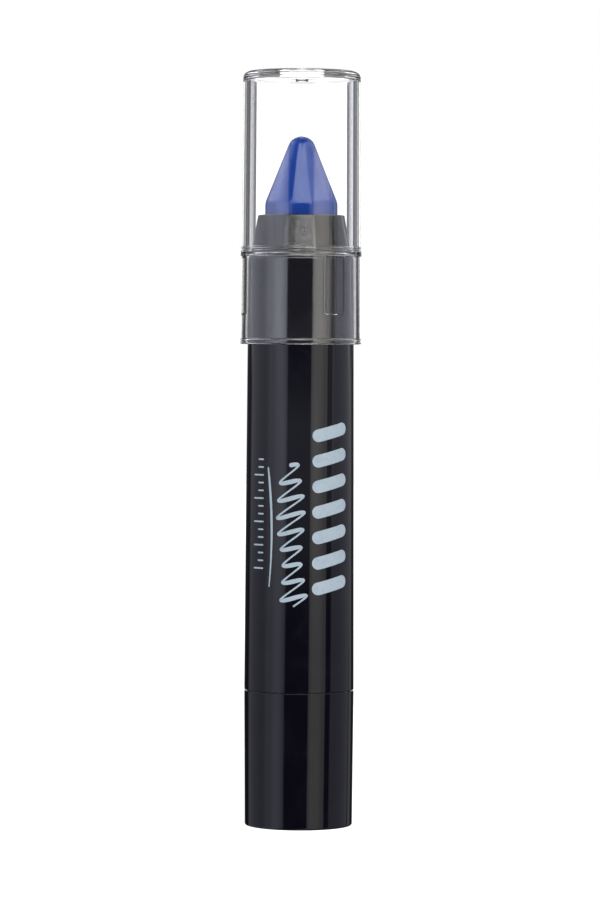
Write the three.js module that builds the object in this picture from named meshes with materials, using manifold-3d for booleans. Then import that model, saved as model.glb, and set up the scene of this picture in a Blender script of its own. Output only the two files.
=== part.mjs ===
// A twist-up crayon standing on its base. A clear overcap covers the nose and the crayon. Turning
// the base turns a coarse left-hand screw, which lifts or lowers the keyed stem under the crayon.
// Millimetres, +Z up, the origin at the middle of the base's underside.
import * as THREE from 'three';
import { mergeVertices } from 'three/addons/utils/BufferGeometryUtils.js';
import Module from 'manifold-3d';

const wasm = await Module();
wasm.setup();

// Driving dimensions. Heights are measured from the underside.
const overallLength = 120;
const shellSegments = 48;
const screwSegments = 20;
const runningGap = 0.3; // between pieces that turn or slide on each other
const pressGap = 0.1; // between round pieces that are pressed together

const housingBore = 7.4; // the bore shared by the barrel and the base
const pressRadius = housingBore - pressGap;
const turningRadius = housingBore - runningGap;

const base = { top: 21.56, footRadius: 8.6, rimRadius: 8.77, footRound: 0.35, rimRound: 0.15, floor: 1.6 };

const barrel = {
  foot: base.top + runningGap, top: 90.9, footRadius: 8.765, topRadius: 8.44, footRound: 0.15,
  shoulderRound: 0.85,
};

const nose = {
  foot: barrel.top + pressGap, top: 97.15, footRadius: 7.97, topRadius: 6.85, edgeRound: 0.25,
  plugFoot: 78, bore: 6.65, lip: 93.6, mouth: 5.95,
};

const crayon = {
  foot: 67.5, tip: 109.68, radius: 5.77, tipRadius: 2.3, coneHalfAngle: 21.7, footRound: 0.3,
};

const cup = { floor: 1, top: 74, bore: 5.9, spigotRadius: 2.5, spigotLength: 2.1 };
cup.foot = crayon.foot - pressGap * 2 - cup.floor;
cup.radius = nose.bore - runningGap;

const screw = {
  discFoot: base.floor + runningGap, discHeight: 1.5, discRadius: 7.1, top: 49.5, lead: 4,
  coreRadius: 1.9, crestRadius: 2.6, rootHalfWidth: 1, crestHalfWidth: 0.7,
};
screw.discTop = screw.discFoot + screw.discHeight;

const stem = { foot: 18, radius: 4.4, flat: 3.8, nutHeight: 8, bore: screw.crestRadius + 0.35 };
stem.top = cup.foot - runningGap;

const bush = { foot: 44, height: 6 };

const neck = {
  foot: screw.discTop + runningGap, top: 32, bore: 5.6, chamfer: 0.5,
  sealFoot: 24, sealTop: 25.3, sealFloor: 6.25, catchFoot: 27.4, catchTop: 29.2, catchFloor: 6.2,
};

const dragRing = { sectionRadius: 0.5, middleRadius: 6.8, height: 24.65 };

const retainer = { foot: 27.7, top: 28.9, bore: 6.5, gapAngle: 24 };

const cap = {
  foot: 76.64, top: overallLength, ceiling: 118.65, innerRound: 0.35, outerRound: 0.45,
  tubeTopRadius: 9.38, tubeFootRadius: 9.54, tubeBoreTop: 8.04, tubeBoreFoot: 8.15,
  ledge: barrel.top + runningGap, skirtTopRadius: 9.51, skirtFootRadius: 9.57, skirtBore: 8.82,
  hemTop: 77.58, hemRadius: 9.72, beadFoot: 90.6, beadTop: 91.55, beadRadius: 9.67,
  ribFoot: 91.85, ribTop: 92.15, ribRadius: 9.64, gateRadius: 1.7, gateDepth: 0.3,
};

const pads = { count: 3, first: -54, spread: 24, face: 8.62, foot: 81.4, top: 90.7 };

const colours = {
  black: 0x101112, nose: 0x17181a, wax: 0x1d3f96, clear: 0xf2f5f8, natural: 0xd9d6cc,
  seal: 0x1b1b1b, steel: 0x9a9da1,
};

// Points (radius, height) on an arc, with angles in degrees counted from the outward direction.
function arc(middleRadius, middleHeight, radius, fromAngle, toAngle, steps) {
  return Array.from({ length: steps + 1 }, (_, i) => {
    const angle = THREE.MathUtils.degToRad(fromAngle + ((toAngle - fromAngle) * i) / steps);
    return [middleRadius + radius * Math.cos(angle), middleHeight + radius * Math.sin(angle)];
  });
}

// The solid that a profile of (radius, height) points sweeps around the upright axis. The profile
// runs with the material on its left.
function lathe(profile) {
  const points = profile.map(([radius, height]) => new THREE.Vector2(radius, height));
  return new THREE.LatheGeometry(points, shellSegments).rotateX(Math.PI / 2);
}

// A tube's profile closes on itself, so its first point is repeated at the end.
function tube(profile) {
  return lathe([...profile, profile[0]]);
}

// A straight prism on an outline in the XY plane.
function prism(outline, fromHeight, toHeight, segments) {
  const depth = toHeight - fromHeight;
  const options = { depth, bevelEnabled: false, curveSegments: segments };
  return new THREE.ExtrudeGeometry(outline, options).translate(0, 0, fromHeight);
}

// Part of a flat ring between two angles in degrees.
function ringSector(innerRadius, outerRadius, fromAngle, toAngle, fromHeight, toHeight, segments) {
  const from = THREE.MathUtils.degToRad(fromAngle);
  const to = THREE.MathUtils.degToRad(toAngle);
  const outline = new THREE.Shape();
  outline.absarc(0, 0, outerRadius, from, to, false);
  outline.absarc(0, 0, innerRadius, to, from, true);
  return prism(outline, fromHeight, toHeight, segments);
}

// A circle with two flats at +-flat in X.
function keyedOutline(radius, flat) {
  const corner = Math.acos(flat / radius);
  const outline = new THREE.Shape();
  outline.absarc(0, 0, radius, corner, Math.PI - corner, false);
  outline.absarc(0, 0, radius, Math.PI + corner, 2 * Math.PI - corner, false);
  return outline;
}

function upright(radius, fromHeight, toHeight) {
  return new THREE.CylinderGeometry(radius, radius, toHeight - fromHeight, screwSegments)
    .rotateX(Math.PI / 2)
    .translate(0, 0, (fromHeight + toHeight) / 2);
}

function solid(geometry) {
  const bare = geometry.clone();
  bare.deleteAttribute('normal');
  bare.deleteAttribute('uv');
  const merged = mergeVertices(bare, 1e-4);
  const vertProperties = merged.getAttribute('position').array;
  const triVerts = new Uint32Array(merged.index.array);
  return new wasm.Manifold(new wasm.Mesh({ numProp: 3, vertProperties, triVerts }));
}

function surface(manifold) {
  const { vertProperties, triVerts } = manifold.getMesh();
  const geometry = new THREE.BufferGeometry();
  geometry.setAttribute('position', new THREE.BufferAttribute(vertProperties, 3));
  geometry.setIndex(new THREE.BufferAttribute(triVerts, 1));
  geometry.computeVertexNormals();
  return geometry;
}

// A rod with one left-hand ridge around it. Each turn of the ridge is four points of a profile:
// root, crest, crest, root. Going once around drops the helix by one lead, so the last column of
// points joins the first one a turn lower. The ragged ends are cut off flat.
function threadedRod({ coreRadius, crestRadius, rootHalfWidth, crestHalfWidth }, fromHeight, toHeight) {
  const turn = [
    [coreRadius, -rootHalfWidth], [crestRadius, -crestHalfWidth],
    [crestRadius, crestHalfWidth], [coreRadius, rootHalfWidth],
  ];
  const firstTurn = Math.floor(fromHeight / screw.lead) - 1;
  const lastTurn = Math.ceil(toHeight / screw.lead) + 2;
  const rows = [];
  for (let k = firstTurn; k <= lastTurn; k++) {
    for (const [radius, offset] of turn) rows.push([radius, k * screw.lead + offset]);
  }
  const positions = [];
  for (let i = 0; i < screwSegments; i++) {
    const part = i / screwSegments;
    const angle = 2 * Math.PI * part;
    for (const [radius, height] of rows) {
      positions.push(radius * Math.cos(angle), radius * Math.sin(angle), height - screw.lead * part);
    }
  }
  const at = (column, row) => column * rows.length + row;
  const lastColumn = screwSegments - 1;
  const lastRow = rows.length - 1;
  const faces = [];
  const quad = (a, b, c, d) => faces.push(a, b, c, a, c, d);
  for (let i = 0; i < lastColumn; i++) {
    for (let j = 0; j < lastRow; j++) quad(at(i, j), at(i + 1, j), at(i + 1, j + 1), at(i, j + 1));
  }
  for (let j = turn.length; j < lastRow; j++) {
    const lower = j - turn.length;
    quad(at(lastColumn, j), at(0, lower), at(0, lower + 1), at(lastColumn, j + 1));
  }
  const aroundFoot = [];
  const aroundTop = [];
  for (let i = 0; i < screwSegments; i++) {
    aroundFoot.push(at(i, 0));
    aroundTop.push(at(i, lastRow));
  }
  for (let j = 1; j <= turn.length; j++) {
    aroundFoot.push(at(lastColumn, j));
    aroundTop.push(at(0, lastRow - turn.length + j - 1));
  }
  const footMiddle = positions.length / 3;
  positions.push(0, 0, rows[0][1] - screw.lead, 0, 0, rows[lastRow][1]);
  aroundFoot.forEach((a, i) => faces.push(footMiddle, aroundFoot[(i + 1) % aroundFoot.length], a));
  aroundTop.forEach((a, i) => faces.push(footMiddle + 1, a, aroundTop[(i + 1) % aroundTop.length]));
  const rod = new wasm.Manifold(new wasm.Mesh({
    numProp: 3, vertProperties: new Float32Array(positions), triVerts: new Uint32Array(faces),
  }));
  return rod.intersect(solid(upright(2 * crestRadius, fromHeight, toHeight)));
}

// A cup with a flat floor, closed at the foot, that the neck is pressed into.
function twistBase() {
  const { top, footRadius, rimRadius, footRound, rimRound, floor } = base;
  return lathe([
    [0, 0],
    ...arc(footRadius - footRound, footRound, footRound, -90, 0, 3),
    ...arc(rimRadius - rimRound, top - rimRound, rimRound, 0, 90, 2),
    [housingBore, top], [housingBore, floor], [0, floor],
  ]);
}

// The tube that joins the base to the barrel. It stands in the base, and its upper half turns in
// the barrel, with a groove for the drag ring and one for the retaining ring.
function baseNeck() {
  return tube([
    [neck.bore, neck.foot], [pressRadius, neck.foot], [pressRadius, base.top],
    [turningRadius, base.top], [turningRadius, neck.sealFoot], [neck.sealFloor, neck.sealFoot],
    [neck.sealFloor, neck.sealTop], [turningRadius, neck.sealTop], [turningRadius, neck.catchFoot],
    [neck.catchFloor, neck.catchFoot], [neck.catchFloor, neck.catchTop],
    [turningRadius, neck.catchTop], [turningRadius, neck.top - neck.chamfer],
    [turningRadius - neck.chamfer, neck.top], [neck.bore, neck.top],
  ]);
}

// The screw stands on a disc that the neck clamps to the floor of the base.
function driveScrew() {
  const { discFoot, discTop, discRadius } = screw;
  const disc = lathe([[0, discFoot], [discRadius, discFoot], [discRadius, discTop], [0, discTop]]);
  return surface(threadedRod(screw, discTop - pressGap, screw.top).add(solid(disc)));
}

function dragRingSolid() {
  return tube(arc(dragRing.middleRadius, dragRing.height, dragRing.sectionRadius, 0, 315, 7));
}

// A straight tube with a long draft and a rounded shoulder.
function barrelTube() {
  const { foot, top, footRadius, topRadius, footRound, shoulderRound } = barrel;
  return tube([
    [housingBore, foot],
    ...arc(footRadius - footRound, foot + footRound, footRound, -90, 0, 2),
    ...arc(topRadius - shoulderRound, top - shoulderRound, shoulderRound, 0, 90, 5),
    [housingBore, top],
  ]);
}

// The tapered nose, with the plug that fixes it in the barrel. The lip at its mouth guides the crayon.
function noseSleeve() {
  const { foot, top, footRadius, topRadius, edgeRound, plugFoot, bore, lip, mouth } = nose;
  return tube([
    [bore, plugFoot], [pressRadius, plugFoot], [pressRadius, foot], [footRadius, foot],
    ...arc(topRadius - edgeRound, top - edgeRound, edgeRound, 10, 90, 3),
    [mouth, top], [mouth, lip + (bore - mouth)], [bore, lip],
  ]);
}

// The keyed bush in the barrel that keeps the stem from turning.
function guideBush() {
  const outline = new THREE.Shape();
  outline.absarc(0, 0, pressRadius, 0, 2 * Math.PI, false);
  outline.holes.push(keyedOutline(stem.radius + runningGap, stem.flat + runningGap));
  return prism(outline, bush.foot, bush.foot + bush.height, shellSegments / 2);
}

// The open spring ring, fixed in the barrel, that holds the neck in.
function retainingRing() {
  const { foot, top, bore, gapAngle } = retainer;
  return ringSector(bore, pressRadius, gapAngle / 2, 360 - gapAngle / 2, foot, top, shellSegments);
}

// The keyed stem. Its foot is a nut on the screw, and the rest of its bore clears the screw.
function carrierStem() {
  const nutTop = stem.foot + stem.nutHeight;
  const flankGrowth = (screw.rootHalfWidth - screw.crestHalfWidth) / (screw.crestRadius - screw.coreRadius);
  const widthAt = (radius) =>
    screw.crestHalfWidth + flankGrowth * (screw.crestRadius - radius) + runningGap;
  const tapCore = screw.coreRadius + runningGap;
  const tap = {
    coreRadius: tapCore, crestRadius: stem.bore,
    rootHalfWidth: widthAt(tapCore), crestHalfWidth: widthAt(stem.bore),
  };
  return surface(
    solid(prism(keyedOutline(stem.radius, stem.flat), stem.foot, stem.top, 8))
      .subtract(threadedRod(tap, stem.foot - 1, nutTop + 1))
      .subtract(solid(upright(stem.bore, nutTop, stem.top + 1))),
  );
}

// The cup that grips the foot of the crayon. Its spigot is pressed into the stem.
function crayonCup() {
  const { foot, top, radius, bore, floor, spigotRadius, spigotLength } = cup;
  return lathe([
    [0, foot - spigotLength], [spigotRadius, foot - spigotLength], [spigotRadius, foot],
    [radius, foot], [radius, top], [bore, top], [bore, foot + floor], [0, foot + floor],
  ]);
}

// A round stick with a cone that ends in a ball-shaped tip. The cone touches the tip where both
// have the same slope.
function crayonStick() {
  const { foot, tip, radius, tipRadius, coneHalfAngle, footRound } = crayon;
  const slope = Math.tan(THREE.MathUtils.degToRad(coneHalfAngle));
  const tipArc = arc(0, tip - tipRadius, tipRadius, coneHalfAngle, 90, 5);
  const [touchRadius, touchHeight] = tipArc[0];
  const shoulder = touchHeight - (radius - touchRadius) / slope;
  tipArc[tipArc.length - 1] = [0, tip];
  return lathe([[0, foot], [radius - footRound, foot], [radius, foot + footRound],
    [radius, shoulder], ...tipArc]);
}

// The clear cap: a closed tube over the nose and a wider skirt that grips the barrel by three pads.
function clearCap() {
  const c = cap;
  const shell = lathe([
    [0, c.ceiling],
    ...arc(c.tubeBoreTop - c.innerRound, c.ceiling - c.innerRound, c.innerRound, 90, 0, 2),
    [c.tubeBoreFoot, c.ledge], [c.skirtBore, c.ledge], [c.skirtBore, c.foot],
    [c.hemRadius, c.foot], [c.hemRadius, c.hemTop], [c.skirtFootRadius, c.hemTop],
    [c.skirtTopRadius, c.beadFoot], [c.beadRadius, c.beadFoot], [c.beadRadius, c.beadTop],
    [c.tubeFootRadius, c.beadTop], [c.tubeFootRadius, c.ribFoot], [c.ribRadius, c.ribFoot],
    [c.ribRadius, c.ribTop], [c.tubeFootRadius, c.ribTop],
    ...arc(c.tubeTopRadius - c.outerRound, c.top - c.outerRound, c.outerRound, 0, 90, 4),
    [c.gateRadius, c.top], [c.gateRadius, c.top - c.gateDepth], [0, c.top - c.gateDepth],
  ]);
  const padBack = (c.skirtBore + c.skirtTopRadius) / 2;
  let joined = solid(shell);
  for (let i = 0; i < pads.count; i++) {
    const from = pads.first + (i * 360) / pads.count - pads.spread / 2;
    const pad = ringSector(pads.face, padBack, from, from + pads.spread, pads.foot, pads.top, 4);
    joined = joined.add(solid(pad));
  }
  return surface(joined);
}

const pieces = [
  ['barrel', barrelTube(), colours.black, 0.18, 0],
  ['nose_sleeve', noseSleeve(), colours.nose, 0.35, 0],
  ['guide_bush', guideBush(), colours.natural, 0.5, 0],
  ['retaining_ring', retainingRing(), colours.steel, 0.3, 1],
  ['twist_base', twistBase(), colours.black, 0.18, 0],
  ['base_neck', baseNeck(), colours.natural, 0.5, 0],
  ['drive_screw', driveScrew(), colours.natural, 0.5, 0],
  ['drag_ring', dragRingSolid(), colours.seal, 0.8, 0],
  ['carrier_stem', carrierStem(), colours.natural, 0.5, 0],
  ['crayon_cup', crayonCup(), colours.natural, 0.5, 0],
  ['crayon_stick', crayonStick(), colours.wax, 0.6, 0],
  ['clear_cap', clearCap(), colours.clear, 0.05, 0],
];

const twistUpCrayon = new THREE.Group();
for (const [name, geometry, color, roughness, metalness] of pieces) {
  const mesh = new THREE.Mesh(geometry, new THREE.MeshStandardMaterial({ color, roughness, metalness }));
  mesh.name = name;
  twistUpCrayon.add(mesh);
}
const clearMaterial = twistUpCrayon.getObjectByName('clear_cap').material;
clearMaterial.transparent = true;
clearMaterial.opacity = 0.3;

export default twistUpCrayon;
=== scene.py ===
import math

import bmesh
import bpy
import numpy as np
from mathutils import Matrix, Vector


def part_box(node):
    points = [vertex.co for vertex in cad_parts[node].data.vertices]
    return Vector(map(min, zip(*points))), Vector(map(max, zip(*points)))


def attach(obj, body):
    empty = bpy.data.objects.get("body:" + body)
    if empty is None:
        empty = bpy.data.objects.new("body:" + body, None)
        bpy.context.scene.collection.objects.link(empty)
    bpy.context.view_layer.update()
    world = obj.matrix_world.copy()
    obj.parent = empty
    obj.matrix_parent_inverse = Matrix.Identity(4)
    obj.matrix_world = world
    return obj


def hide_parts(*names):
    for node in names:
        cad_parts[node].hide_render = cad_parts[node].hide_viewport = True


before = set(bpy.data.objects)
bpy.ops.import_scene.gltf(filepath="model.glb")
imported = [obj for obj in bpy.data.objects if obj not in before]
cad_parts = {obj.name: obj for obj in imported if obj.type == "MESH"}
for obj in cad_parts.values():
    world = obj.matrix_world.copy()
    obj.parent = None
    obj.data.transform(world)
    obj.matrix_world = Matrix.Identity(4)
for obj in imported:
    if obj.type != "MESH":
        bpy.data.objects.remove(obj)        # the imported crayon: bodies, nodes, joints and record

# A twist-up crayon with a clear overcap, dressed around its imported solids. Lengths in the settings
# below are millimetres unless a name says otherwise, and everything built is in metres.
mm = 0.001
scene = bpy.context.scene
scene.view_settings.view_transform = "Standard"
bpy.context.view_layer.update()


cameraSettings = {
    "distance": 656, "height": 78, "aside": -0.02, "lookDown": 1.5875, "lean": 0.29, "lens": 164.8,
}


def makeCamera(settings):
    data = bpy.data.cameras.new("studioCamera")
    data.lens = settings["lens"]
    data.clip_start = 0.01
    camera = bpy.data.objects.new("studioCamera", data)
    scene.collection.objects.link(camera)
    place = (settings["aside"] * mm, -settings["distance"] * mm, settings["height"] * mm)
    tilt = Matrix.Rotation(math.radians(90 - settings["lookDown"]), 4, "X")
    roll = Matrix.Rotation(math.radians(settings["lean"]), 4, "Z")
    camera.matrix_world = Matrix.Translation(place) @ tilt @ roll
    scene.camera = camera
    return camera


makeCamera(cameraSettings)
print("camera set")


# Each panel of light is a patch of the sky around the object, in degrees: its ends in azimuth (0 is
# towards the camera, 90 to its right), its ends in elevation, how soft those four edges are, how far
# it leans (degrees of azimuth for each degree of elevation), its brightness and its tint.
coolTint = (0.93, 0.96, 1.1)
warmTint = (1.03, 1.0, 0.94)
studioPanels = {
    "backPaper": {"azimuth": (163.7, 196.3), "rise": (-90, 14), "soft": (0.6, 0.6, 1, 6), "level": 0.95},
    "backPaperTop": {"azimuth": (163.7, 196.3), "rise": (14, 75), "soft": (0.6, 0.6, 6, 10), "level": 0.64},
    "greyLeft": {"azimuth": (-159, -149), "rise": (0, 60), "soft": (3, 3, 0.8, 10), "level": 0.14},
    "greyRight": {"azimuth": (149, 159), "rise": (0, 60), "soft": (3, 3, 0.8, 10), "level": 0.2},
    "edgeLeft": {"azimuth": (-132, -126), "rise": (0, 40), "soft": (3, 3, 0.8, 10), "level": 0.4},
    "edgeRight": {"azimuth": (125, 131), "rise": (0, 40), "soft": (3, 3, 0.8, 10), "level": 0.4},
    "leftFill": {
        "azimuth": (-128, -27.5), "rise": (-60, 13), "soft": (10, 3, 4, 8), "lean": 0.7, "level": 0.35,
        "tint": coolTint,
    },
    "leftBox": {
        "azimuth": (-72, -29), "rise": (-60, 13), "soft": (16, 8, 4, 8), "lean": 0.7, "level": 0.25,
        "tint": coolTint,
    },
    "leftBoxCore": {
        "azimuth": (-54, -36), "rise": (-60, 13), "soft": (14, 10, 4, 8), "lean": 0.7, "level": 0.26,
        "tint": coolTint,
    },
    "leftUpper": {
        "azimuth": (-128, -65), "rise": (13, 70), "soft": (10, 8, 8, 10), "level": 0.58, "tint": coolTint,
    },
    "leftKey": {
        "azimuth": (-112, -84), "rise": (20, 55), "soft": (20, 12, 8, 10), "level": 0.75, "tint": coolTint,
    },
    "leftBackKey": {
        "azimuth": (-150, -105), "rise": (14, 50), "soft": (10, 20, 6, 10), "level": 0.5, "tint": coolTint,
    },
    "rightStrip": {
        "azimuth": (23, 60), "rise": (-60, 13), "soft": (1.5, 1.5, 4, 8), "lean": 0.7, "level": 0.57,
        "tint": warmTint,
    },
    "rightStripCore": {
        "azimuth": (27, 50), "rise": (-60, 13), "soft": (8, 12, 4, 8), "lean": 0.7, "level": 0.28,
        "tint": warmTint,
    },
    "rightUpper": {
        "azimuth": (34, 75), "rise": (13, 70), "soft": (4, 4, 8, 10), "level": 0.45, "tint": warmTint,
    },
    "rightKey": {
        "azimuth": (23.5, 34), "rise": (12, 60), "soft": (2, 4, 4, 10), "level": 3.8, "tint": warmTint,
    },
    "rightBackKey": {
        "azimuth": (34, 125), "rise": (26, 60), "soft": (4, 20, 8, 10), "level": 1.18, "tint": warmTint,
    },
    "rightFill": {
        "azimuth": (73, 131), "rise": (-60, 70), "soft": (3, 4, 4, 10), "lean": 0.8, "level": 0.34,
        "tint": coolTint,
    },
    "gapHaze": {"azimuth": (58, 76), "rise": (-2.4, 30), "soft": (4, 4, 1.6, 6), "level": 0.14},
    "rightFillFoot": {"azimuth": (129, 142), "rise": (-60, 0), "soft": (4, 6, 4, 1), "level": 0.3},
    "frontKey": {"azimuth": (-14, 23), "rise": (16, 60), "soft": (8, 2, 2, 6), "level": 3.5},
    "frontKeySide": {"azimuth": (-40, -14), "rise": (16, 31), "soft": (6, 8, 2, 6), "level": 1.6},
    "frontKeyUpper": {"azimuth": (-32.5, -14), "rise": (31, 60), "soft": (6, 8, 6, 6), "level": 3.5},
    "frontHaze": {
        "azimuth": (-40, 40), "rise": (-2.6, -0.3), "soft": (10, 10, 1.6, 0.8), "level": 0.2,
        "tint": coolTint,
    },
    "roomHaze": {
        "azimuth": (-180, 180), "rise": (-3, 90), "soft": (1, 1, 4, 4), "level": 0.025, "tint": coolTint,
    },
}
studioGain = {"from": -4.5, "to": 0.5, "gain": 1.5}     # the studio is brighter above eye level
studioAmbient = 0.02


def addNode(tree, kind, inputs=(), **properties):
    node = tree.nodes.new(kind)
    for key, value in properties.items():
        setattr(node, key, value)
    for socket, value in dict(inputs).items():
        if isinstance(value, bpy.types.NodeSocket):
            tree.links.new(value, node.inputs[socket])
        else:
            node.inputs[socket].default_value = value
    return node


def mathNode(tree, operation, *values):
    return addNode(tree, "ShaderNodeMath", dict(enumerate(values)), operation=operation).outputs[0]


# 1 between low and high, 0 outside, and a smooth step over the soft width at either end.
def softSpan(tree, angle, low, high, lowSoft, highSoft):
    rises = addNode(
        tree, "ShaderNodeMapRange",
        {"Value": angle, "From Min": math.radians(low - lowSoft / 2),
         "From Max": math.radians(low + lowSoft / 2)},
        interpolation_type="SMOOTHSTEP",
    )
    falls = addNode(
        tree, "ShaderNodeMapRange",
        {"Value": angle, "From Min": math.radians(high + highSoft / 2),
         "From Max": math.radians(high - highSoft / 2)},
        interpolation_type="SMOOTHSTEP",
    )
    return mathNode(tree, "MULTIPLY", rises.outputs["Result"], falls.outputs["Result"])


# The azimuth is measured from the panel's own middle, so a panel may cross the back of the circle.
def panelLevel(tree, azimuth, rise, panel):
    start, end = panel["azimuth"]
    leftSoft, rightSoft, lowSoft, highSoft = panel["soft"]
    middle = (start + end) / 2
    leaning = mathNode(tree, "MULTIPLY_ADD", rise, -panel.get("lean", 0.0), azimuth)
    offset = mathNode(tree, "SUBTRACT", leaning, math.radians(middle))
    turned = mathNode(tree, "WRAP", offset, math.pi, -math.pi)
    across = softSpan(tree, turned, start - middle, end - middle, leftSoft, rightSoft)
    upright = softSpan(tree, rise, *panel["rise"], lowSoft, highSoft)
    return mathNode(tree, "MULTIPLY", mathNode(tree, "MULTIPLY", across, upright), panel["level"])


def makeStudio(panels, ambient, gain):
    world = bpy.data.worlds.new("studio")
    world.use_nodes = True
    scene.world = world
    tree = world.node_tree
    tree.nodes.clear()
    direction = addNode(tree, "ShaderNodeTexCoord").outputs["Generated"]
    parts = addNode(tree, "ShaderNodeSeparateXYZ", {"Vector": direction}).outputs
    azimuth = mathNode(tree, "ARCTAN2", parts["X"], mathNode(tree, "MULTIPLY", parts["Y"], -1.0))
    rise = mathNode(tree, "ARCSINE", parts["Z"])
    total = (ambient, ambient, ambient)
    for panel in panels.values():
        tinted = addNode(
            tree, "ShaderNodeVectorMath",
            {0: panel.get("tint", (1.0, 1.0, 1.0)), "Scale": panelLevel(tree, azimuth, rise, panel)},
            operation="SCALE",
        ).outputs[0]
        total = addNode(
            tree, "ShaderNodeVectorMath", {0: tinted, 1: total}, operation="ADD",
        ).outputs[0]
    brighter = addNode(
        tree, "ShaderNodeMapRange",
        {"Value": rise, "From Min": math.radians(gain["from"]), "From Max": math.radians(gain["to"]),
         "To Min": 1.0, "To Max": gain["gain"]},
        interpolation_type="SMOOTHSTEP",
    ).outputs["Result"]
    lit = addNode(tree, "ShaderNodeBackground", {"Color": total, "Strength": brighter})
    plain = addNode(tree, "ShaderNodeBackground", {"Color": (1.0, 1.0, 1.0, 1.0)})
    seen = addNode(tree, "ShaderNodeLightPath").outputs["Is Camera Ray"]
    mixed = addNode(
        tree, "ShaderNodeMixShader", {0: seen, 1: lit.outputs[0], 2: plain.outputs[0]},
    )
    addNode(tree, "ShaderNodeOutputWorld", {"Surface": mixed.outputs[0]})
    return world


makeStudio(studioPanels, studioAmbient, studioGain)
print("studio lit")


# Straight runs between corners of (radius, height, fillet). Each fillet is an arc that touches both
# runs: it starts fillet / tan(half the corner's angle) before the corner and ends as far past it.
def roundedPath(corners, closed=False, arcSteps=7):
    path = []
    count = len(corners)
    for k, (radius, height, fillet) in enumerate(corners):
        here = np.array([radius, height], float)
        if fillet == 0 or (not closed and k in (0, count - 1)):
            path.append(here)
            continue
        back = np.array(corners[k - 1][:2], float) - here
        ahead = np.array(corners[(k + 1) % count][:2], float) - here
        back /= np.linalg.norm(back)
        ahead /= np.linalg.norm(ahead)
        half = 0.5 * math.acos(np.clip(back @ ahead, -1, 1))
        bisector = (back + ahead) / np.linalg.norm(back + ahead)
        middle = here + bisector * fillet / math.sin(half)
        first = here + back * fillet / math.tan(half) - middle
        last = here + ahead * fillet / math.tan(half) - middle
        turn = math.pi - 2 * half
        share = np.linspace(0, 1, arcSteps + 1)[:, None]
        arc = (np.sin((1 - share) * turn) * first + np.sin(share * turn) * last) / math.sin(turn)
        path.extend(middle + arc)
    return np.array(path)


def smoothstep(low, high, value):
    share = np.clip((value - low) / (high - low), 0, 1)
    return share * share * (3 - 2 * share)


# Point = (radius * sin(turn), -radius * cos(turn), height): turn 0 is the front, and it runs
# anticlockwise seen from above. radius may be a function of (turn, path) for what isn't round.
def revolved(path, turns=256, reshape=None):
    turn = np.linspace(0, 2 * math.pi, turns, endpoint=False)[:, None]
    radius = np.broadcast_to(path[:, 0], (turns, len(path)))
    height = np.broadcast_to(path[:, 1], (turns, len(path)))
    if reshape is not None:
        radius = reshape(turn, radius, height)
    points = np.stack([radius * np.sin(turn), -radius * np.cos(turn), height], axis=-1)
    return points * mm


# The normal at a grid point is the cross product of the steps between its neighbours around and
# along the surface. Long runs weigh more than short ones, so flats stay flat beside a fillet.
def gridNormals(points, closedAround, closedAlong):
    def steps(axis, closed):
        ahead = np.roll(points, -1, axis)
        back = np.roll(points, 1, axis)
        if not closed:
            first = [slice(None)] * 3
            last = [slice(None)] * 3
            first[axis], last[axis] = 0, -1
            back[tuple(first)] = points[tuple(first)]
            ahead[tuple(last)] = points[tuple(last)]
        return ahead - back

    normals = np.cross(steps(0, closedAround), steps(1, closedAlong))
    lengths = np.linalg.norm(normals, axis=-1, keepdims=True)
    return normals / np.maximum(lengths, 1e-15)


# A grid of points (around, along) as a closed mesh. A row whose points all meet is a pole, and
# becomes one vertex with triangles around it.
def gridMesh(name, points, closedAround=True, closedAlong=False):
    around, along = points.shape[:2]
    normals = gridNormals(points, closedAround, closedAlong)
    ids = np.arange(around * along).reshape(around, along)
    for row, beside in ((0, 1), (along - 1, along - 2)):
        if not closedAlong and np.ptp(points[:, row], axis=0).max() < 1e-9:
            ids[:, row] = ids[0, row]
            middle = normals[:, beside].mean(axis=0)
            normals[:, row] = middle / np.linalg.norm(middle)
    used, ids = np.unique(ids, return_inverse=True)
    ids = ids.reshape(around, along)
    left = ids if closedAround else ids[:-1]
    right = np.roll(ids, -1, axis=0) if closedAround else ids[1:]
    if closedAlong:
        corners = (left, right, np.roll(right, -1, axis=1), np.roll(left, -1, axis=1))
    else:
        corners = (left[:, :-1], right[:, :-1], right[:, 1:], left[:, 1:])
    quads = np.stack(corners, axis=-1).reshape(-1, 4)
    footPole = quads[:, 0] == quads[:, 1]
    headPole = quads[:, 2] == quads[:, 3]
    faces = quads[~footPole & ~headPole].tolist()
    faces += quads[footPole][:, [0, 2, 3]].tolist()
    faces += quads[headPole][:, [0, 1, 2]].tolist()
    mesh = bpy.data.meshes.new(name)
    mesh.from_pydata(points.reshape(-1, 3)[used].tolist(), [], faces)
    mesh.polygons.foreach_set("use_smooth", np.ones(len(faces), bool))
    mesh.update()
    mesh.normals_split_custom_set_from_vertices(normals.reshape(-1, 3)[used].tolist())
    return mesh


def addPiece(mesh, body, slotName, material, *replaced):
    piece = bpy.data.objects.new(mesh.name, mesh)
    scene.collection.objects.link(piece)
    mesh.materials.append(material)
    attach(piece, body)
    if replaced:
        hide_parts(*replaced)
    return piece


# Foot, top and largest radius of a CAD node, in millimetres.
def reach(node):
    low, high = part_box(node)
    return low.z / mm, high.z / mm, high.x / mm


# Cycles for each metre of the slow swell, the fine peel and the smudges, and the peel's share.
skinDefaults = {"Swell Scale": 60.0, "Peel Scale": 900.0, "Peel Share": 0.3, "Smudge Scale": 140.0}


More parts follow.
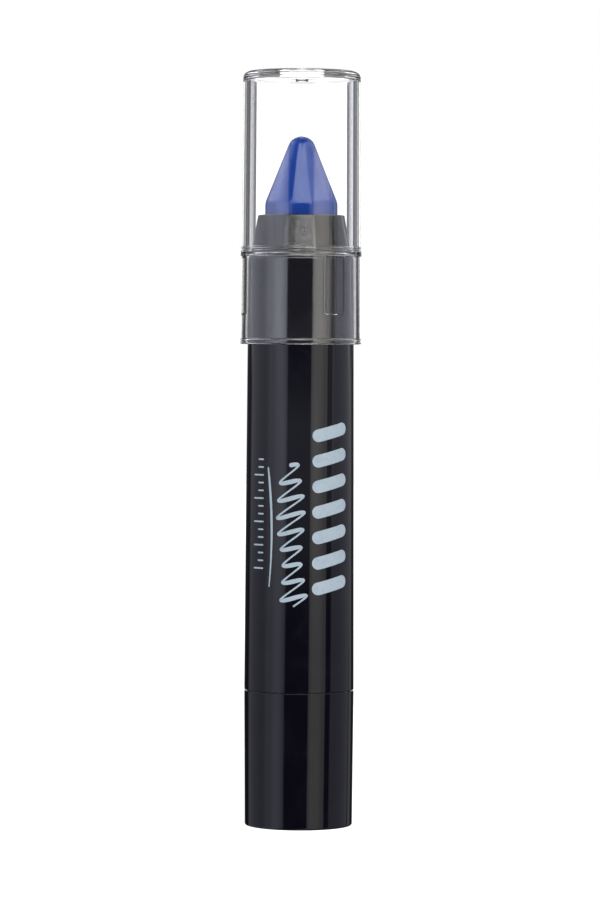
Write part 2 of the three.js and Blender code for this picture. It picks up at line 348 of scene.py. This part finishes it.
# Fine unevenness of moulded plastic: a slow swell, a fine peel, and where hands have smudged it.
# Height = swell + share * peel. Smudge is a warped noise, stepped smoothly from 0.45 to 0.75.
def makeMouldedSkin():
    group = bpy.data.node_groups.new("mouldedSkin", "ShaderNodeTree")
    face = group.interface
    for label, default in skinDefaults.items():
        face.new_socket(name=label, in_out="INPUT", socket_type="NodeSocketFloat").default_value = default
    for label in ("Height", "Smudge"):
        face.new_socket(name=label, in_out="OUTPUT", socket_type="NodeSocketFloat")
    entry = addNode(group, "NodeGroupInput").outputs
    place = addNode(group, "ShaderNodeTexCoord").outputs["Object"]
    swell = addNode(
        group, "ShaderNodeTexNoise", {"Vector": place, "Scale": entry["Swell Scale"], "Detail": 1.0},
    )
    peel = addNode(
        group, "ShaderNodeTexNoise", {"Vector": place, "Scale": entry["Peel Scale"], "Detail": 2.0},
    )
    height = mathNode(group, "MULTIPLY_ADD", peel.outputs["Fac"], entry["Peel Share"], swell.outputs["Fac"])
    smudge = addNode(
        group, "ShaderNodeTexNoise",
        {"Vector": place, "Scale": entry["Smudge Scale"], "Detail": 4.0, "Distortion": 1.2},
    )
    patches = addNode(
        group, "ShaderNodeMapRange",
        {"Value": smudge.outputs["Fac"], "From Min": 0.45, "From Max": 0.75}, interpolation_type="SMOOTHSTEP",
    )
    addNode(group, "NodeGroupOutput", {"Height": height, "Smudge": patches.outputs["Result"]})
    return group


mouldedSkin = makeMouldedSkin()


def newMaterial(name):
    material = bpy.data.materials.new(name)
    material.use_nodes = True
    material.node_tree.nodes.clear()
    return material, material.node_tree


def skinNode(tree, values):
    node = tree.nodes.new("ShaderNodeGroup")
    node.node_tree = mouldedSkin
    for label, value in values.items():
        node.inputs[label].default_value = value
    return node.outputs


# Moulded plastic: the colour shifts a little and the gloss dulls where it is smudged.
def mouldedPlastic(name, settings):
    material, tree = newMaterial(name)
    skin = skinNode(tree, settings.get("skin", {}))
    colour = addNode(
        tree, "ShaderNodeMix",
        {"Factor": skin["Smudge"], "A": (*settings["colour"], 1.0), "B": (*settings["smudgeColour"], 1.0)},
        data_type="RGBA",
    )
    rough = addNode(
        tree, "ShaderNodeMapRange",
        {"Value": skin["Smudge"], "To Min": settings["rough"][0], "To Max": settings["rough"][1]},
    )
    bump = addNode(
        tree, "ShaderNodeBump",
        {"Height": skin["Height"], "Strength": settings["bump"], "Distance": settings["depth"] * mm},
    )
    shader = addNode(
        tree, "ShaderNodeBsdfPrincipled",
        {"Base Color": colour.outputs["Result"], "Roughness": rough.outputs["Result"],
         "IOR": settings.get("ior", 1.5), "Metallic": settings.get("metallic", 0.0),
         "Specular Tint": (*settings.get("tint", (1.0, 1.0, 1.0)), 1.0), "Normal": bump.outputs["Normal"]},
    )
    addNode(tree, "ShaderNodeOutputMaterial", {"Surface": shader.outputs[0]})
    return material


# Clear plastic lets the lamps reach the crayon straight through, and bends everything else.
def clearPlastic(name, settings):
    material, tree = newMaterial(name)
    skin = skinNode(tree, settings["skin"])
    rough = addNode(
        tree, "ShaderNodeMapRange",
        {"Value": skin["Smudge"], "To Min": settings["rough"][0], "To Max": settings["rough"][1]},
    )
    bump = addNode(
        tree, "ShaderNodeBump",
        {"Height": skin["Height"], "Strength": settings["bump"], "Distance": settings["depth"] * mm},
    )
    shader = addNode(
        tree, "ShaderNodeBsdfPrincipled",
        {"Base Color": (*settings["colour"], 1.0), "Roughness": rough.outputs["Result"],
         "IOR": settings["ior"], "Transmission Weight": 1.0, "Normal": bump.outputs["Normal"]},
    )
    through = addNode(tree, "ShaderNodeBsdfTransparent", {"Color": (*settings["shade"], 1.0)})
    path = addNode(tree, "ShaderNodeLightPath").outputs
    lamps = mathNode(tree, "MAXIMUM", path["Is Shadow Ray"], path["Is Diffuse Ray"])
    mixed = addNode(tree, "ShaderNodeMixShader", {0: lamps, 1: shader.outputs[0], 2: through.outputs[0]})
    addNode(tree, "ShaderNodeOutputMaterial", {"Surface": mixed.outputs[0]})
    return material


blackSkin = {
    "colour": (0.0014, 0.0013, 0.0034), "smudgeColour": (0.0021, 0.002, 0.0044), "rough": (0.05, 0.1),
    "bump": 0.15, "depth": 0.01,
}
noseSkin = {
    "colour": (0.003, 0.003, 0.0036), "smudgeColour": (0.0045, 0.0045, 0.005), "rough": (0.06, 0.11),
    "bump": 0.15, "depth": 0.012,
}
clearSkin = {
    "colour": (1.0, 1.0, 1.0), "shade": (0.93, 0.93, 0.93), "ior": 1.58, "rough": (0.0, 0.015), "bump": 0.1,
    "depth": 0.01, "skin": {"Swell Scale": 120.0, "Peel Share": 0.1},
}
waxSkin = {
    "colour": (0.004, 0.03, 0.2), "smudgeColour": (0.006, 0.036, 0.22), "rough": (0.08, 0.14), "bump": 0.3,
    "depth": 0.03, "ior": 1.55, "tint": (0.72, 0.8, 1.0),
    "skin": {"Swell Scale": 220.0, "Peel Scale": 1600.0},
}
glossBlack = mouldedPlastic("glossBlack", blackSkin)
noseBlack = mouldedPlastic("noseBlack", noseSkin)
waterClear = clearPlastic("waterClear", clearSkin)
blueWax = mouldedPlastic("blueWax", waxSkin)
print("materials made")


barrelSettings = {"topRadius": 8.44, "shoulderRound": 0.85, "footRound": 0.045, "bore": 7.4, "seam": 0.17}


def makeBarrel(settings):
    foot, top, radius = reach("barrel")
    foot = reach("twist_base")[1] + settings["seam"]
    path = roundedPath([
        (settings["bore"], foot, 0.1), (radius, foot, settings["footRound"]),
        (settings["topRadius"], top, settings["shoulderRound"]), (settings["bore"], top, 0.03),
    ], closed=True)
    mesh = gridMesh("barrelShell", revolved(path), closedAlong=True)
    return addPiece(mesh, "barrel_body", "gloss_black", glossBlack, "barrel")


makeBarrel(barrelSettings)

baseSettings = {
    "footRadius": 8.6, "footRound": 0.35, "rimRound": 0.035, "bore": 7.4, "floor": 1.6, "lipRadius": 8.35,
    "lipRise": 0.08, "recessRadius": 5.6, "recessDepth": 0.35, "recessSlope": 0.25, "gateRadius": 0.9,
    "gateDepth": 0.12, "edge": 0.12,
}


def makeBase(settings):
    foot, top, radius = reach("twist_base")
    recess = foot + settings["recessDepth"]
    gate = recess - settings["gateDepth"]
    bottom = foot + settings["floor"]
    rim = top + settings["lipRise"]
    edge = settings["edge"]
    path = roundedPath([
        (0, gate, 0), (settings["gateRadius"], gate, 0.1), (settings["gateRadius"] + 0.1, recess, 0.08),
        (settings["recessRadius"], recess, edge),
        (settings["recessRadius"] + settings["recessSlope"], foot, edge),
        (settings["footRadius"], foot, settings["footRound"]), (radius, top, settings["rimRound"]),
        (settings["lipRadius"], top, 0.02), (settings["lipRadius"], rim, 0.02), (settings["bore"], rim, 0.05),
        (settings["bore"], bottom, 0.3), (0, bottom, 0),
    ])
    mesh = gridMesh("baseShell", revolved(path))
    return addPiece(mesh, "base_body", "gloss_black", glossBlack, "twist_base")


makeBase(baseSettings)

noseShape = {
    "seat": 91.0, "topRadius": 6.85, "edgeRound": 0.25, "plugRadius": 7.3, "bore": 6.65, "lip": 93.6,
    "mouth": 5.95,
}


def makeNose(settings):
    foot, top, radius = reach("nose_sleeve")
    path = roundedPath([
        (settings["bore"], foot, 0.1), (settings["plugRadius"], foot, 0.2),
        (settings["plugRadius"], settings["seat"], 0.05), (radius, settings["seat"], 0.05),
        (settings["topRadius"], top, settings["edgeRound"]), (settings["mouth"], top, 0.12),
        (settings["mouth"], settings["lip"] + 0.7, 0.1), (settings["bore"], settings["lip"], 0.1),
    ], closed=True)
    mesh = gridMesh("noseShell", revolved(path), closedAlong=True)
    return addPiece(mesh, "barrel_body", "nose_black", noseBlack, "nose_sleeve")


makeNose(noseShape)
print("barrel, base and nose built")


# Ink is matte, and slightly mottled where it lies thin: it mixes towards the thin colour.
inkMatte = mouldedPlastic("inkMatte", {
    "colour": (0.22, 0.271, 0.315), "smudgeColour": (0.19, 0.238, 0.28), "rough": (0.45, 0.6), "bump": 0.3,
    "depth": 0.01, "skin": {"Smudge Scale": 700.0, "Swell Scale": 300.0},
})
inkSettings = {"lift": 0.022, "sink": 0.015, "bevel": 0.04, "across": 11}


# Radius of the barrel's wall at a height, in millimetres: it tapers evenly from foot to top.
def barrelWall(height):
    foot, top, radius = reach("barrel")
    return radius + (barrelSettings["topRadius"] - radius) * (height - foot) / (top - foot)


# One stroke: a flat-topped hump carried along a path of (degrees, height), with its edges bevelled
# and its bottom sunk in the wall. The hump shrinks to a point where the half-width is nothing.
def inkStroke(path, halfWidth):
    c = inkSettings
    flat = np.linspace(1, -1, c["across"])
    across = np.concatenate([[1], flat * (1 - c["bevel"]), [-1]])[:, None]
    rise = np.concatenate([[-c["sink"]], np.full(c["across"], c["lift"]), [-c["sink"]]])[:, None]
    wall = barrelWall(path[:, 1])
    flatPath = np.stack([np.radians(path[:, 0]) * wall, path[:, 1]], axis=1)
    ahead = np.gradient(flatPath, axis=0)
    ahead /= np.linalg.norm(ahead, axis=1, keepdims=True)
    turn = (flatPath[:, 0] - across * halfWidth * ahead[:, 1]) / wall
    height = flatPath[:, 1] + across * halfWidth * ahead[:, 0]
    share = np.minimum(halfWidth / max(halfWidth.max() * 0.2, 1e-6), 1)
    radius = barrelWall(height) + rise * share
    return np.stack([radius * np.sin(turn), -radius * np.cos(turn), height], axis=-1) * mm


# The half-width of a stroke with round ends: a circle's chord within one half-width of each end.
def roundEnds(path, halfWidth):
    wall = barrelWall(path[:, 1])
    steps = np.hypot(np.diff(np.radians(path[:, 0]) * wall), np.diff(path[:, 1]))
    along = np.concatenate([[0], np.cumsum(steps)])
    nearest = np.minimum(along, along[-1] - along)
    inset = np.clip(1 - nearest / halfWidth, 0, 1)
    return halfWidth * np.sqrt(np.maximum(1 - inset * inset, 0))


def addPrint(name, strokes):
    meshes = [gridMesh(name, inkStroke(path, width)) for path, width in strokes]
    joined = bmesh.new()
    for mesh in meshes:
        joined.from_mesh(mesh)
        bpy.data.meshes.remove(mesh)
    whole = bpy.data.meshes.new(name)
    joined.to_mesh(whole)
    joined.free()
    return addPiece(whole, "barrel_body", "print_ink", inkMatte)


# Evenly spaced steps, closer together at both ends where a stroke is rounded.
def endWeighted(count):
    return 0.5 - 0.5 * np.cos(np.linspace(0, math.pi, count))


barsSettings = {
    "count": 7, "turn": (13.2, 56.4), "firstHeight": 38.7, "pitch": 4.02, "slant": 1.5, "halfWidth": 1.02,
    "steps": 48,
}


# Seven parallel pills, each running round the barrel and rising by the slant.
def makeBars(c):
    share = endWeighted(c["steps"])
    turn = c["turn"][0] + share * (c["turn"][1] - c["turn"][0])
    strokes = []
    for k in range(c["count"]):
        middle = c["firstHeight"] + k * c["pitch"]
        path = np.stack([turn, middle + (share - 0.5) * c["slant"]], axis=1)
        strokes.append((path, roundEnds(path, c["halfWidth"])))
    return addPrint("printBars", strokes)


makeBars(barsSettings)

scribbleSettings = {
    "middle": -9.0, "spread": (14.5, 9.5), "height": (57.6, 35.4), "waves": 8.5, "lean": 0.075, "drift": 5.0,
    "thin": 0.14, "thick": 0.36, "steps": 700,
}


# A leaning brush wave: turn = middle + spread * sin(phase), with the height pulled along by the
# lean, and a stroke that is thickest on the way across and thin at the bends.
def makeScribble(c):
    share = endWeighted(c["steps"])
    phase = share * c["waves"] * 2 * math.pi
    spread = c["spread"][0] + (c["spread"][1] - c["spread"][0]) * (0.5 + 0.5 * np.cos(share * 9.0))
    swing = spread * np.sin(phase)
    turn = c["middle"] + swing + c["drift"] * (share - 0.5)
    height = c["height"][0] + share * (c["height"][1] - c["height"][0]) + c["lean"] * swing
    path = np.stack([turn, height], axis=1)
    body = c["thin"] + (c["thick"] - c["thin"]) * (0.5 + 0.5 * np.cos(phase)) ** 1.5
    width = np.minimum(roundEnds(path, c["thick"]), body)
    return addPrint("printScribble", [(path, width)])


makeScribble(scribbleSettings)

underlineSettings = {
    "turn": (-35.6, -30.8, -33.6), "height": (57.3, 38.4), "thick": 0.2, "thin": 0.08, "steps": 160,
}


# One long stroke that bows to the right: a parabola through its three turns, tapering downwards.
def makeUnderline(c):
    share = endWeighted(c["steps"])
    start, middle, end = c["turn"]
    turn = start * (1 - share) * (1 - 2 * share) + middle * 4 * share * (1 - share)
    turn += end * share * (2 * share - 1)
    path = np.stack([turn, c["height"][0] + share * (c["height"][1] - c["height"][0])], axis=1)
    taper = c["thin"] + (c["thick"] - c["thin"]) * np.sin(math.pi * share ** 0.6) ** 0.7
    return addPrint("printUnderline", [(path, np.minimum(roundEnds(path, c["thick"]), taper))])


makeUnderline(underlineSettings)

ticksSettings = {
    "count": 15, "middle": -49.0, "long": 15.0, "short": 8.0, "height": (41.3, 58.5), "every": 3,
    "halfWidth": 0.13, "steps": 24,
}


# A row of small ticks like a rule's, with every third one long.
def makeTicks(c):
    share = endWeighted(c["steps"])
    strokes = []
    for k, height in enumerate(np.linspace(*c["height"], c["count"])):
        length = c["long"] if k % c["every"] == 0 else c["short"]
        start = c["middle"] + c["long"] / 2 - length
        path = np.stack([start + share * length, np.full(c["steps"], height)], axis=1)
        strokes.append((path, roundEnds(path, c["halfWidth"])))
    return addPrint("printTicks", strokes)


makeTicks(ticksSettings)
print("print laid on the barrel")


crayonSettings = {"tipRadius": 2.3, "coneHalfAngle": 21.7, "shoulderRound": 2.8, "footRound": 0.3}


def makeCrayon(settings):
    foot, tip, radius = reach("crayon_stick")
    slope = math.tan(math.radians(settings["coneHalfAngle"]))
    point = tip + settings["tipRadius"] * (1 / math.sin(math.radians(settings["coneHalfAngle"])) - 1)
    path = roundedPath([
        (0, foot, 0), (radius, foot, settings["footRound"]),
        (radius, point - radius / slope, settings["shoulderRound"]), (0, point, 0),
    ], arcSteps=10)
    cone = path[:-1]
    angle = np.radians(np.linspace(settings["coneHalfAngle"], 90, 16))
    ball = np.stack([np.cos(angle), np.sin(angle)], axis=1) * settings["tipRadius"]
    path = np.vstack([cone, ball + (0, tip - settings["tipRadius"])])
    path[-1, 0] = 0
    mesh = gridMesh("crayonStick", revolved(path))
    return addPiece(mesh, "carrier_body", "blue_wax", blueWax, "crayon_stick")


makeCrayon(crayonSettings)
print("crayon built")


capSettings = {
    "ceiling": 118.65, "innerRound": 0.35, "outerRound": 1.05, "tubeTopRadius": 9.38, "tubeFootRadius": 9.54,
    "tubeBoreTop": 8.04, "tubeBoreFoot": 8.15, "ledge": 91.2, "skirtTopRadius": 9.51, "skirtFootRadius": 9.57,
    "skirtBore": 8.82, "hemTop": 77.58, "beadFoot": 90.6, "beadTop": 91.55, "beadRadius": 9.67,
    "ribFoot": 91.85, "ribTop": 92.15, "ribRadius": 9.64, "gateRadius": 1.7, "gateDepth": 0.3,
    "pipRadius": 0.95, "pipDrop": 0.45, "padDepth": 0.2, "padHalfAngle": 12, "padEdge": 1.4,
    "padMiddle": 36, "padFoot": 81.4, "padFootEdge": 0.15, "padFade": 90.2, "turns": 360,
}


# Three pads stand in from the skirt's bore: depth * window(turn) * window(height).
def padded(turn, radius, height):
    c = capSettings
    third = 2 * math.pi / 3
    offset = np.abs((turn - math.radians(c["padMiddle"]) + third / 2) % third - third / 2)
    half, edge = math.radians(c["padHalfAngle"]), math.radians(c["padEdge"])
    across = 1 - smoothstep(half - edge, half, offset)
    upright = smoothstep(c["padFoot"] - c["padFootEdge"], c["padFoot"] + c["padFootEdge"], height)
    upright = upright * (1 - smoothstep(c["padFade"], c["ledge"] - 0.3, height))
    inside = (radius < c["skirtBore"] + 0.01) & (radius > c["tubeBoreFoot"] + 0.02)
    return radius - c["padDepth"] * across * upright * inside


def makeCap(settings):
    c = settings
    foot, top, hem = reach("clear_cap")
    padRows = np.linspace(c["padFoot"] + c["padFootEdge"], c["padFoot"] - c["padFootEdge"], 7)
    fadeRows = np.linspace(c["ledge"] - 0.75, c["padFade"], 5)
    path = roundedPath([
        (0, c["ceiling"] - c["pipDrop"], 0), (c["pipRadius"], c["ceiling"] - c["pipDrop"], 0.3),
        (c["pipRadius"] + 0.1, c["ceiling"], 0.1),
        (c["tubeBoreTop"], c["ceiling"], c["innerRound"]), (c["tubeBoreFoot"], c["ledge"], 0.12),
        (c["skirtBore"], c["ledge"], 0.5), *[(c["skirtBore"], h, 0) for h in fadeRows],
        *[(c["skirtBore"], h, 0) for h in padRows],
        (c["skirtBore"], foot, 0.12), (hem, foot, 0.3), (hem, c["hemTop"], 0.3),
        (c["skirtFootRadius"], c["hemTop"], 0.06), (c["skirtTopRadius"], c["beadFoot"], 0.06),
        (c["beadRadius"], c["beadFoot"], 0.12), (c["beadRadius"], c["beadTop"], 0.12),
        (c["tubeFootRadius"], c["beadTop"], 0.06), (c["tubeFootRadius"], c["ribFoot"], 0.04),
        (c["ribRadius"], c["ribFoot"], 0.08), (c["ribRadius"], c["ribTop"], 0.08),
        (c["tubeFootRadius"], c["ribTop"], 0.04), (c["tubeTopRadius"], top, c["outerRound"]),
        (c["gateRadius"], top, 0.12), (c["gateRadius"] - 0.25, top - c["gateDepth"], 0.2),
        (0, top - c["gateDepth"], 0),
    ])
    mesh = gridMesh("capShell", revolved(path, c["turns"], padded))
    return addPiece(mesh, "cap_body", "clear_plastic", waterClear, "clear_cap")


makeCap(capSettings)
print("clear cap built")


# The pieces inside keep the meshes that the frame made, and get finishes of their own.
naturalPlastic = mouldedPlastic("naturalPlastic", {
    "colour": (0.62, 0.6, 0.54), "smudgeColour": (0.56, 0.54, 0.48), "rough": (0.35, 0.5), "bump": 0.3,
    "depth": 0.02,
})
springSteel = mouldedPlastic("springSteel", {
    "colour": (0.6, 0.6, 0.62), "smudgeColour": (0.5, 0.49, 0.47), "rough": (0.22, 0.38), "bump": 0.2,
    "depth": 0.01, "metallic": 1.0,
})
sealRubber = mouldedPlastic("sealRubber", {
    "colour": (0.014, 0.014, 0.015), "smudgeColour": (0.03, 0.03, 0.03), "rough": (0.5, 0.7), "bump": 0.5,
    "depth": 0.03,
})
innerFinishes = {
    "guide_bush": naturalPlastic, "base_neck": naturalPlastic, "drive_screw": naturalPlastic,
    "carrier_stem": naturalPlastic, "crayon_cup": naturalPlastic, "retaining_ring": springSteel,
    "drag_ring": sealRubber,
}
for node, finish in innerFinishes.items():
    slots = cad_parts[node].data.materials
    slots.clear()
    slots.append(finish)
print("inner pieces finished")


# Seen through the clear cap, the floor carries painted shade: its glow and grey are dimmer beside the white
# paper at the back (in degrees from straight back), close to the crayon as a painted contact shadow, and far
# from it (in millimetres).
floorSettings = {
    "half": 1500, "colour": 0.5, "glow": 0.8, "paintedShadeGlow": 0.16, "paintedShadeColour": 0.05, "paper": (16, 17),
    "side": (40, 43), "near": (145, 160), "far": (440, 480),
}


def makeFloor(settings):
    half = settings["half"] * mm
    mesh = bpy.data.meshes.new("floor")
    corners = [(-half, -half, 0), (half, -half, 0), (half, half, 0), (-half, half, 0)]
    mesh.from_pydata(corners, [], [(0, 1, 2, 3)])
    material, tree = newMaterial("palePaper")
    place = addNode(tree, "ShaderNodeTexCoord").outputs["Object"]
    parts = addNode(tree, "ShaderNodeSeparateXYZ", {"Vector": place}).outputs
    fromBack = mathNode(tree, "ABSOLUTE", mathNode(tree, "ARCTAN2", parts["X"], parts["Y"]))
    edge, edgeSoft = sum(settings["paper"]) / 2, settings["paper"][1] - settings["paper"][0]
    side, sideSoft = sum(settings["side"]) / 2, settings["side"][1] - settings["side"][0]
    beside = softSpan(tree, fromBack, edge, side, edgeSoft, sideSoft)
    offPaper = softSpan(tree, fromBack, edge, 181, edgeSoft, 1)     # everything but the paper
    distance = addNode(tree, "ShaderNodeVectorMath", {0: place}, operation="LENGTH").outputs["Value"]
    beyond = addNode(
        tree, "ShaderNodeMapRange",
        {"Value": distance, "From Min": settings["far"][0] * mm, "From Max": settings["far"][1] * mm},
    ).outputs["Result"]
    # Painted contact shadow: 1 close to the crayon, fading out by the near distance.
    close = addNode(
        tree, "ShaderNodeMapRange",
        {"Value": distance, "From Min": settings["near"][1] * mm, "From Max": settings["near"][0] * mm},
    ).outputs["Result"]
    outside = mathNode(tree, "MAXIMUM", beyond, close)
    # Painted shade on the floor: beside the paper, close to the crayon and far off, for rays through the cap
    # only.
    paintedShade = mathNode(tree, "MAXIMUM", beside, mathNode(tree, "MULTIPLY", offPaper, outside))
    bent = addNode(tree, "ShaderNodeLightPath").outputs["Is Transmission Ray"]
    share = mathNode(tree, "MULTIPLY", paintedShade, bent)
    glow, colour = settings["glow"], settings["colour"]
    shownGlow = mathNode(tree, "MULTIPLY_ADD", share, settings["paintedShadeGlow"] - glow, glow)
    shownGrey = mathNode(tree, "MULTIPLY_ADD", share, settings["paintedShadeColour"] - colour, colour)
    shader = addNode(
        tree, "ShaderNodeBsdfPrincipled",
        {"Base Color": shownGrey, "Roughness": 0.9, "Emission Color": (1.0, 1.0, 1.0, 1.0),
         "Emission Strength": shownGlow},
    )
    addNode(tree, "ShaderNodeOutputMaterial", {"Surface": shader.outputs[0]})
    mesh.materials.append(material)
    floor = bpy.data.objects.new("floor", mesh)
    scene.collection.objects.link(floor)
    floor.visible_glossy = False


makeFloor(floorSettings)
print("floor laid")
